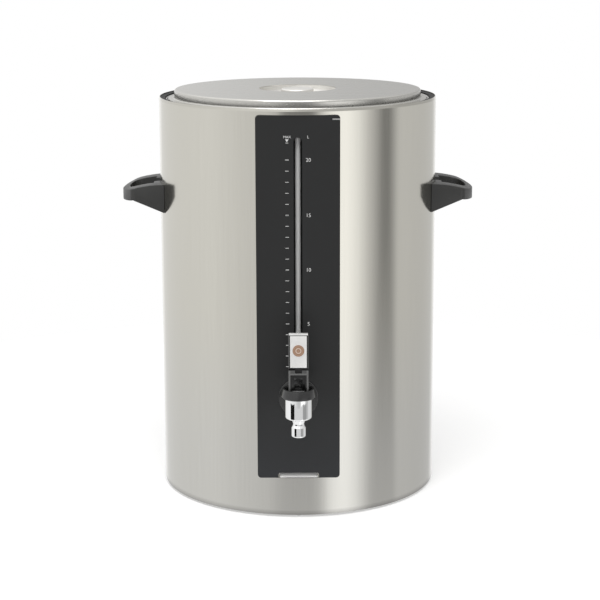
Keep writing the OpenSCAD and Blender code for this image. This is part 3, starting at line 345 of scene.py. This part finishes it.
# %% [markdown]
# ## Rubber and silicone
# The feet and the lid's gasket are soft rubber with a dusty bloom, and the tap's cup and the seals
# are milky silicone. Subsurface light could make the silicone softer, but it sits inside the tap,
# so a pale matt moulding with a coarser grain is enough.

# %% Soft finishes
dress(moulded("rubber", grey(0.016), 0.7, 900, 40e-6, 0.12), "feet", "lid_gasket")
silicone = moulded("silicone", (0.62, 0.60, 0.56), 0.5, 700, 20e-6)
dress(silicone, "gauge_seal", "shank_seal", "seat_cup")

# %% [markdown]
# ## Chrome, bright steel and glass
# The tap is polished and plated, so it is almost a mirror: its look comes from what stands round
# it. A perfect mirror looks drawn, so a faint ripple in gloss and bump bends the reflections a bit.

# %% Chrome
chrome = Finish("tap_chrome", (0.93, 0.935, 0.94), 0.05, 1.0)
ripple = chrome.noise(55, 1.0)
chrome.put("Roughness", 0.035 + 0.04 * ripple)
chrome.tint(ripple, 0.98, 1.02)
chrome.bump(ripple, 0.1, 50e-6)
dress(chrome, "tap_body", "tap_nozzle")

# %% [markdown]
# The plate on the lever is a satin pressing, folded over the lever's top. A fold that sharp catches
# no light, so a dark line marks it. The sight glass is a tube in front of a black channel. Clear
# glass would show only the channel, but a used tube is hazed and looks like a pale rod, so the
# shader lets little light through and its gloss varies along the tube.

# %% The lever's plate, small steel and the sight glass
PLATE, FOLD = (0.90, 0.895, 0.88), (0.16, 0.16, 0.155)
plate_steel = brushed("plate_steel", PLATE, 0.34, "z", tinted=False)
plate_steel.put("Metallic", 0.35)
plate_steel.paint(PLATE, FOLD, between(plate_steel.along("Z"), 245.4, 246.1, 0.2))
dress(brushed("pin_steel", (0.55, 0.55, 0.54), 0.3, "x"), "lever_pin", "tap_spring")
dress(moulded("stem_black", grey(0.015), 0.5), "valve_stem")

glass = Finish("tube_glass", (0.93, 0.93, 0.92), 0.2, 0.0, transmission_weight=0.05, ior=1.47)
film = glass.noise(160, 2.0, (1, 1, 0.08))
glass.put("Roughness", 0.10 + 0.10 * film)
glass.tint(film, 0.92, 1.05)
dress(glass, "gauge_tube")

# %% [markdown]
# ## Inside the urn
# Nobody sees these while the lid is on, but they are there when the urn is opened up: mineral wool,
# plated plates and screws, a cast heater, ceramic sensors, brass and coloured leads. Each gets the
# one trait that its material is known by, such as fibres, spangle or a cast skin.

# %% Wool and sheet
wool = Finish("mineral_wool", (0.58, 0.50, 0.30), 0.95)
fibres = wool.noise(420, 4.0, (1, 1, 0.35), 0.7)
wool.tint(fibres, 0.6, 1.25)
wool.bump(fibres, 0.8, 1.2 * MM)
dress(wool, "vessel_insulation", "floor_insulation", "lid_insulation")

zinc = Finish("zinc_plate", (0.52, 0.53, 0.53), 0.42, 1.0)
spangle = zinc.add("ShaderNodeTexVoronoi", {}, Vector=zinc.place, Scale=160.0)["Distance"]
zinc.tint(spangle, 0.8, 1.15)
zinc.put("Roughness", 0.34 + 0.16 * spangle)
dress(zinc, "base_plate", "handle_backing_plates", "heater_clamp")

# %% Screws, heater, sensors and leads
dress(brushed("bolt_steel", (0.50, 0.50, 0.49), 0.36, "z"), "base_screws", "base_nuts",
      "foot_screws", "handle_screws", "knob_screw", "heater_nuts", "inlet_screws")
cast = Finish("cast_aluminium", (0.62, 0.62, 0.62), 0.5, 1.0)
skin = cast.noise(700, 3.0)
cast.tint(skin, 0.85, 1.1)
cast.bump(skin, 0.5, 0.1 * MM)
dress(cast, "heater_plate")
dress(moulded("ceramic", (0.72, 0.69, 0.62), 0.35, 500, 20e-6), "thermostat", "thermal_cutout",
      "terminal_block")
dress(moulded("lead_sleeves", (0.36, 0.03, 0.02), 0.5, 2000, 30e-6), "internal_wiring")
dress(brushed("block_brass", (0.62, 0.47, 0.22), 0.3, "z"), "gauge_block")
print("finishes:", len(bpy.data.materials))

# %% [markdown]
# ## Rounded plastic
# A mould has no knife edges, and the thin bright line along a rounded edge is what makes black
# plastic readable. A shader could fake that line, but only geometry gives the exported mesh its
# round edges. So a copy of each visible moulding is merged into one skin, its flat faces are joined
# up, and a Bevel modifier rounds the edges. The copy then stands in for the solid.

# %% Round a moulding
MERGE, FLAT, SHARP = 0.02 * MM, math.radians(0.6), math.radians(35)


def put_in_scene(name, data):
    """A new object at the origin."""
    made = bpy.data.objects.new(name, data)
    bpy.context.scene.collection.objects.link(made)
    return made


def plain_mesh(maker):
    """What an object's modifiers or letters amount to, as a mesh of its own."""
    graph = bpy.context.evaluated_depsgraph_get()
    return bpy.data.meshes.new_from_object(maker.evaluated_get(graph))


def rounded(name, solid, body, finish, width, segments=3):
    """A copy of a solid with its sharp edges rounded."""
    mesh = nodes[solid].data.copy()
    mesh.materials.clear()
    mesh.materials.append(finish.material)
    skin = bmesh.new()
    skin.from_mesh(mesh)
    bmesh.ops.remove_doubles(skin, verts=skin.verts, dist=MERGE)
    bmesh.ops.dissolve_limit(skin, angle_limit=FLAT, verts=skin.verts, edges=skin.edges)
    skin.to_mesh(mesh)
    skin.free()
    piece = put_in_scene(name, mesh)
    for polygon in mesh.polygons:
        polygon.use_smooth = True
    bevel = piece.modifiers.new("round", "BEVEL")
    bevel.width = width
    bevel.segments = segments
    bevel.limit_method = "ANGLE"
    bevel.angle_limit = SHARP
    bevel.harden_normals = True
    plain = plain_mesh(piece)
    piece.modifiers.clear()
    piece.data = plain
    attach(piece, body)
    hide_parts(solid)
    print(name, "faces:", len(plain.polygons))


# %% The rounded mouldings
rounded("handle_left_moulding", "handle_left", "urn", handle_black, 1.3 * MM)
rounded("handle_right_moulding", "handle_right", "urn", handle_black, 1.3 * MM)
rounded("lever_moulding", "tap_lever", "tap_handle", lever_black, 0.9 * MM, 2)
rounded("collar_moulding", "tap_bonnet", "urn", collar_black, 0.8 * MM)
rounded("flange_moulding", "tap_flange", "urn", flange_black, 1.4 * MM)
rounded("plate_pressing", "lever_plate", "tap_handle", plate_steel, 0.4 * MM, 2)

# %% [markdown]
# ## The spring in the tap
# A spring is squeezed when the stem rises under it. Its top rests in the tap and stays; its foot
# follows the stem. It could ride on either body, but then it would cut into the other. So a copy of
# the solid, with its doubled points merged, stands in for it and rides on the urn.

# %% The spring
spring_mesh = nodes["tap_spring"].data.copy()
skin = bmesh.new()
skin.from_mesh(spring_mesh)
bmesh.ops.remove_doubles(skin, verts=skin.verts, dist=MERGE / 2)
skin.to_mesh(spring_mesh)
skin.free()
spring = put_in_scene("spring_coil", spring_mesh)
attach(spring, "urn")
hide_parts("tap_spring")
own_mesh(spring)

# %% [markdown]
# ## The litre marks
# The scale is printed on the panel: a short tick for each litre, a bolder one at each fifth, and
# plain numbers. Ticks repeat by a rule, so Geometry Nodes set them out along a line, and the number
# of litres, the pitch and the size stay named inputs. The ink is a real skin, 0.06 mm thick, so it
# stays in the exported meshes.

# %% Ink
LITRE, ZERO = 13.35 * MM, 179.0 * MM
PRINT = 0.06 * MM
ink = Finish("scale_ink", (0.78, 0.78, 0.77), 0.55)
rubbed = ink.noise(900, 2.0)
ink.tint(rubbed, 0.88, 1.05)
ink.put("Roughness", 0.5 + 0.1 * rubbed)
print("litre pitch in mm:", round(LITRE / MM, 2))


# %% Ticks by rule
def tick_tree(name, sizes, start):
    """A node tree that sets flat bars out along a line, from its named inputs."""
    tree = bpy.data.node_groups.new(name, "GeometryNodeTree")
    for key in sizes:
        kind = "NodeSocketInt" if key == "Count" else "NodeSocketFloat"
        tree.interface.new_socket(key, in_out="INPUT", socket_type=kind)
    tree.interface.new_socket("Geometry", in_out="OUTPUT", socket_type="NodeSocketGeometry")
    given, result, line, box, copies, real, paint, size, step = [tree.nodes.new(kind) for kind in (
        "NodeGroupInput", "NodeGroupOutput", "GeometryNodeMeshLine", "GeometryNodeMeshCube",
        "GeometryNodeInstanceOnPoints", "GeometryNodeRealizeInstances", "GeometryNodeSetMaterial",
        "ShaderNodeCombineXYZ", "ShaderNodeCombineXYZ")]
    line.inputs["Start Location"].default_value = start
    paint.inputs["Material"].default_value = ink.material
    for source, out_of, target, into in (
            (given, "Width", size, "X"), (given, "Depth", size, "Y"), (given, "Height", size, "Z"),
            (given, "Pitch", step, "Z"), (size, 0, box, "Size"), (given, "Count", line, "Count"),
            (step, 0, line, "Offset"), (line, 0, copies, "Points"), (box, 0, copies, "Instance"),
            (copies, 0, real, 0), (real, 0, paint, "Geometry"), (paint, 0, result, 0)):
        tree.links.new(source.outputs[out_of], target.inputs[into])
    return tree


def row_of_ticks(name, count, first, pitch, width, height, left):
    """A column of flat bars on the panel, made plain."""
    sizes = {"Count": count, "Pitch": pitch, "Width": width, "Height": height, "Depth": PRINT}
    piece = put_in_scene(name, bpy.data.meshes.new(name))
    rule = piece.modifiers.new("ticks", "NODES")
    rule.node_group = tick_tree(name, sizes, (left + width / 2, panel_face - PRINT / 2, first))
    for item in rule.node_group.interface.items_tree:
        if item.in_out == "INPUT":
            rule[item.identifier] = sizes[item.name]
    piece.data = plain_mesh(piece)
    piece.modifiers.clear()
    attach(piece, "urn")
    print(name, "bars:", count, "faces:", len(piece.data.polygons))


# %% The two columns of ticks
TICK_WIDTH, TICK_LEFT = 4.2 * MM, -15.1 * MM
row_of_ticks("litre_ticks", 20, ZERO + LITRE, LITRE, TICK_WIDTH, 0.6 * MM, TICK_LEFT)
row_of_ticks("five_litre_ticks", 4, ZERO + 5 * LITRE, 5 * LITRE, TICK_WIDTH, 1.3 * MM, TICK_LEFT)

# %% [markdown]
# Numbers could be drawn as outlines, but Blender's own plain font has them ready. A text object is
# made a mesh first, and only then are its points moved to their place on the panel, because a
# finished piece stays at the origin.

# %% Numbers
CAPITAL = 0.72


def printed(name, words, height, x, z):
    """Flat lettering on the panel, centred on x, made a mesh."""
    text = bpy.data.curves.new(name, "FONT")
    text.body = words
    text.size = height / CAPITAL
    text.align_x = "CENTER"
    text.extrude = PRINT / 2
    maker = put_in_scene(name + "_text", text)
    mesh = plain_mesh(maker)
    bpy.data.objects.remove(maker)
    low = min(v.co.y for v in mesh.vertices)
    for v in mesh.vertices:
        v.co = Vector((v.co.x + x, panel_face - PRINT / 2 + v.co.z, v.co.y - low + z))
    mesh.materials.clear()
    mesh.materials.append(ink.material)
    piece = put_in_scene(name, mesh)
    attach(piece, "urn")
    print(name, "reads", words)


for litres in (5, 10, 15, 20):
    level = ZERO + litres * LITRE
    printed(f"number_{litres}", str(litres), 4.5 * MM, 12.6 * MM, level - 2.2 * MM)
printed("word_litres", "L", 3.6 * MM, 12.4 * MM, 471.8 * MM)
printed("word_max", "MAX", 3.1 * MM, -12.7 * MM, 472.0 * MM)


# %% The arrow and the bar at the highest mark
def arrow(name, x, z, width, height):
    """A small triangle that points down at a bar."""
    mesh = bpy.data.meshes.new(name)
    skin = bmesh.new()
    corners = [(x - width / 2, z + height), (x + width / 2, z + height), (x, z)]
    front, back = [[skin.verts.new((across, y, up)) for across, up in corners]
                   for y in (panel_face - PRINT, panel_face)]
    skin.faces.new(front)
    skin.faces.new(reversed(back))
    for i in range(3):
        after = (i + 1) % 3
        skin.faces.new([front[i], back[i], back[after], front[after]])
    bmesh.ops.recalc_face_normals(skin, faces=skin.faces)
    skin.to_mesh(mesh)
    skin.free()
    mesh.materials.append(ink.material)
    piece = put_in_scene(name, mesh)
    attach(piece, "urn")
    print(name, "faces:", len(mesh.polygons))


arrow("max_arrow", -12.9 * MM, 467.3 * MM, 4.2 * MM, 3.4 * MM)
row_of_ticks("max_bar", 1, 466.3 * MM, LITRE, 3.6 * MM, 0.5 * MM, -14.7 * MM)

# %% [markdown]
# ## The copper badge
# A turned copper-coloured button sits on the lever's plate. It carries plain rings, cut like a
# record, and a paler band between them. Real grooves would need thousands of faces on a disc of
# 14 mm, so the rings are a wave of the distance from its middle, in colour and in bump.

# %% Rings on the badge
GROOVES = 2600.0
PALE, MID, DARK = (0.84, 0.68, 0.57), (0.64, 0.42, 0.30), (0.52, 0.31, 0.21)
badge_low, badge_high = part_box("lever_badge")
middle = (badge_low + badge_high) / 2
copper = Finish("badge_copper", (0.50, 0.27, 0.16), 0.35, 0.85)
offset = copper.add("ShaderNodeVectorMath", {"operation": "SUBTRACT"}, copper.place, tuple(middle))
parts = copper.add("ShaderNodeSeparateXYZ", {}, offset["Vector"])
radius = (parts["X"] * parts["X"] + parts["Z"] * parts["Z"]) ** 0.5
grooves = radius.sum("SINE", radius * GROOVES)
band = radius.ramp(2.2 * MM, 2.5 * MM) * (1.0 - radius.ramp(3.4 * MM, 3.7 * MM))
copper.paint(copper.blend(DARK, MID, 0.5 + 0.5 * grooves), PALE, band)
copper.put("Roughness", 0.3 + 0.12 * band)
copper.bump(grooves, 0.2, 30e-6)
dress(copper, "lever_badge")

# %% [markdown]
# ## Light
# The urn stands in a white tent. What steel shows is the tent itself: white walls, one bright soft
# window to the right of the camera and the darker gap beside it. They could be lamps and cards, but
# a world that only reflections see adds no light to the urn. The walls are one ramp round the
# horizon, with a dim gap where the camera looks in, the glow of the floor below them and a ceiling
# above.

# %% The tent as reflections see it
WALLS = [(-180, 1.15), (-162, 1.1), (-150, 0.9), (-75, 0.97), (-45, 0.86), (-25, 0.8), (-10, 0.62),
         (8, 0.56), (18, 0.75), (28, 1.35), (40, 1.45), (50, 1.2), (60, 0.78), (67, 0.55),
         (74, 0.27), (80, 0.25), (86, 0.52), (91, 0.77), (125, 0.71), (150, 0.7), (162, 1.0),
         (180, 1.15)]
world = bpy.data.worlds.new("tent")
bpy.context.scene.world = world
world.use_nodes = True
tent = Tree(world.node_tree)
sky = tent.add("ShaderNodeSeparateXYZ", {}, tent.add("ShaderNodeTexCoord")["Generated"])
up, down = sky["Z"], -sky["Z"]
turn = sky["X"].sum("ARCTAN2", sky["X"], -sky["Y"]) / (2 * math.pi) + 0.5
horizon = tent.add("ShaderNodeValToRGB", {"stops": [((a + 180) / 360, v) for a, v in WALLS]}, turn)
walls = tent.add("ShaderNodeSeparateColor", {}, horizon["Color"])["Red"]
gap = (1.0 - abs(turn * 360.0 - 181.0).ramp(12, 17)) * (1.0 - down.ramp(0.14, 0.24))
walls = walls * (1.0 - 0.55 * gap) * (1.0 - 0.07 * down.ramp(0.16, 0.32))
floor_glow = 0.62 * down.ramp(0.05, 0.33) + 0.33 * down.ramp(0.45, 0.75)
walls = walls.at_least(floor_glow)
ceiling = (0.62 - 1.8 * sky["X"]).at_least(0.54).at_most(0.86) + 0.32 * up.ramp(0.25, 0.7)
above = up.ramp(-0.03, 0.05)
mirrored = walls * (1.0 - above) + ceiling * above
print("stops round the horizon:", len(WALLS))

# %% [markdown]
# Matt things take a plain even level, at which a colour comes out about as it is written, and the
# camera sees white. The kind of ray tells the three apart.

# %% What each kind of ray sees
EVEN = 0.62
ray = tent.add("ShaderNodeLightPath")
reflecting = (ray["Is Glossy Ray"] + ray["Is Transmission Ray"]).clamped()
inside = tent.add("ShaderNodeCombineColor", {}, mirrored, mirrored, mirrored)["Color"]
lit = tent.blend(grey(EVEN), inside, reflecting)
white = tent.blend(lit, grey(1), ray["Is Camera Ray"])
glow = tent.add("ShaderNodeBackground", {}, white, 1.0)
tent.add("ShaderNodeOutputWorld", {}, glow["Background"])
print("even level:", EVEN)

# %% [markdown]
# One big soft lamp above and in front of the urn gives the shadow on the floor its direction. A sun
# or a point lamp would draw a hard edge.

# %% One soft lamp
def lamp(name, place, aim, size, power):
    """A square soft lamp that looks at a point."""
    light = bpy.data.lights.new(name, "AREA")
    light.size = size
    light.energy = power
    holder = put_in_scene(name, light)
    holder.location = place
    holder.rotation_euler = (Vector(aim) - Vector(place)).to_track_quat("-Z", "Y").to_euler()
    print(name, "watts:", power)


lamp("key_lamp", (-0.2, -1.2, 2.6), (0, 0, 0.25), 1.8, 34)

# %% [markdown]
# ## Three cards round the tap
# Polished metal needs something dark to reflect, or it melts into the white. Three small cards
# stand in front of the tap: dark on the left, grey on the right and pale between them. They could
# be part of the tent, but there they would show in the whole case. Only reflections see them.

# %% Cards
CARD_LOW, CARD_HIGH, REACH = 84, 134.5, 120


def card(name, from_angle, to_angle, level, reach=REACH):
    """An upright card that covers two angles as seen from the tap; 0 points at the camera."""
    (x0, y0), (x1, y1) = [(reach * math.sin(math.radians(a)),
                           tap_axis.y / MM - reach * math.cos(math.radians(a)))
                          for a in (from_angle, to_angle)]
    corners = [(x0, y0, CARD_LOW), (x1, y1, CARD_LOW), (x1, y1, CARD_HIGH), (x0, y0, CARD_HIGH)]
    mesh = bpy.data.meshes.new(name)
    mesh.from_pydata([tuple(c * MM for c in corner) for corner in corners], [], [(0, 1, 2, 3)])
    board = put_in_scene(name, mesh)
    felt = bpy.data.materials.new(name)
    felt.use_nodes = True
    tree = Tree(felt.node_tree)
    shine = tree.add("ShaderNodeEmission", {}, (*grey(level), 1), 1.0)["Emission"]
    tree.add("ShaderNodeOutputMaterial", {}, shine)
    mesh.materials.append(felt)
    board.visible_camera = board.visible_diffuse = board.visible_shadow = False
    print(name, "level:", level)


card("dark_flag", -66, -33, 0.01)
card("grey_flag", 34, 66, 0.33)
card("pale_flag", -33, 34, 0.66, REACH + 1)

# %% [markdown]
# ## Floor
# A pale sheet that burns out to white for the camera but still takes the urn's soft shadow. A white
# world alone would leave the urn floating. Its glow is added only for rays that see it, so it puts
# no more light on the urn.

# %% The sheet
SHEET_RADIUS, GLOW = 0.9, 0.3
floor_mesh = bpy.data.meshes.new("sheet")
skin = bmesh.new()
bmesh.ops.create_circle(skin, cap_ends=True, segments=96, radius=SHEET_RADIUS)
skin.to_mesh(floor_mesh)
skin.free()
floor = put_in_scene("sheet", floor_mesh)
paper = Finish("paper", grey(0.9), 0.9)
ray = paper.add("ShaderNodeLightPath")
watching = ray["Is Camera Ray"] + ray["Is Glossy Ray"] + ray["Is Transmission Ray"]
boost = paper.add("ShaderNodeEmission", {}, (1, 1, 1, 1), GLOW * watching)["Emission"]
both = paper.add("ShaderNodeAddShader", {}, boost, Value(paper, paper.shader.outputs[0]))
paper.tree.links.new(both["Shader"].socket, paper.out.inputs[0])
floor_mesh.materials.append(paper.material)
floor.visible_glossy = False
print("sheet radius in m:", SHEET_RADIUS)

# %% [markdown]
# ## Camera
# A long lens, 2.2 metres in front of the urn and 0.2 metres above its lid, looks down at it by a
# good 11 degrees. A nearer camera would show a rounder mouth, and a case that tapers more towards
# its foot. The small shift only sets the urn a little higher and to the left in the frame.

# %% The camera
SENSOR, FRAME, FOCAL = 36, 600, 1694.1
TILT, PAN, ROLL = [math.radians(a) for a in (90 - 11.246, -0.015, -0.192)]
camera = bpy.data.cameras.new("camera")
camera.sensor_width = SENSOR
camera.lens = SENSOR * FOCAL / FRAME
camera.shift_x, camera.shift_y = 0.0051, -0.06
camera.clip_end = 50
view = put_in_scene("camera", camera)
view.location = (-1.9 * MM, -2176.7 * MM, 717.7 * MM)
aimed = Matrix.Rotation(PAN, 3, "Z") @ Matrix.Rotation(TILT, 3, "X")
view.rotation_euler = (aimed @ Matrix.Rotation(ROLL, 3, "Z")).to_euler()
bpy.context.scene.camera = view
bpy.context.scene.view_settings.view_transform = "Standard"
print("lens in mm:", round(camera.lens, 2))
